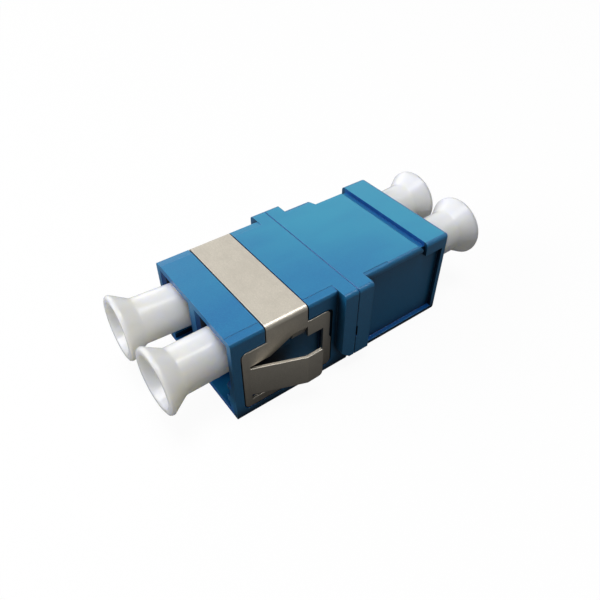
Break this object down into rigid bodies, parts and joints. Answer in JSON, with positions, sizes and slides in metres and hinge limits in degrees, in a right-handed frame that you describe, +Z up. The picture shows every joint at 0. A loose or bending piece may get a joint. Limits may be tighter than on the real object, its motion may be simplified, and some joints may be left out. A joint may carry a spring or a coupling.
{
  "type": "duplex fibre optic adapter",
  "caption": "Duplex fibre optic coupler block with side shoulders, a folded steel panel clip with spring tongues, split ceramic sleeves and flared pull-out dust caps.",
  "frame": {"origin": "on the housing's underside, below the seam of its two halves, midway between the ports", "axes": "+Z up; Y along the optical axis, with the clip end towards -Y; X across the ports"},
  "size_m": [0.0162, 0.0354, 0.0096],
  "materials": {
    "blue_plastic": "satin moulded",
    "clip_steel": "rolled satin",
    "zirconia": "ground ceramic",
    "cap_plastic": "translucent moulded"
  },
  "bodies": {
    "housing": {"front_housing": "blue_plastic", "rear_housing": "blue_plastic", "panel_clip": "clip_steel", "alignment_sleeve_left": "zirconia", "alignment_sleeve_right": "zirconia"},
    "front_left_cap": {"dust_cap_front_left": "cap_plastic"},
    "front_right_cap": {"dust_cap_front_right": "cap_plastic"},
    "rear_left_cap": {"dust_cap_rear_left": "cap_plastic"},
    "rear_right_cap": {"dust_cap_rear_right": "cap_plastic"}
  },
  "joints": [
    {"name": "front_left_cap_pull", "type": "slide", "parent": "housing", "child": "front_left_cap", "axis": [0, -1, 0], "range_m": [0, 0.012]},
    {"name": "front_right_cap_pull", "type": "slide", "parent": "housing", "child": "front_right_cap", "axis": [0, -1, 0], "range_m": [0, 0.012]},
    {"name": "rear_left_cap_pull", "type": "slide", "parent": "housing", "child": "rear_left_cap", "axis": [0, 1, 0], "range_m": [0, 0.012]},
    {"name": "rear_right_cap_pull", "type": "slide", "parent": "housing", "child": "rear_right_cap", "axis": [0, 1, 0], "range_m": [0, 0.012]}
  ]
}
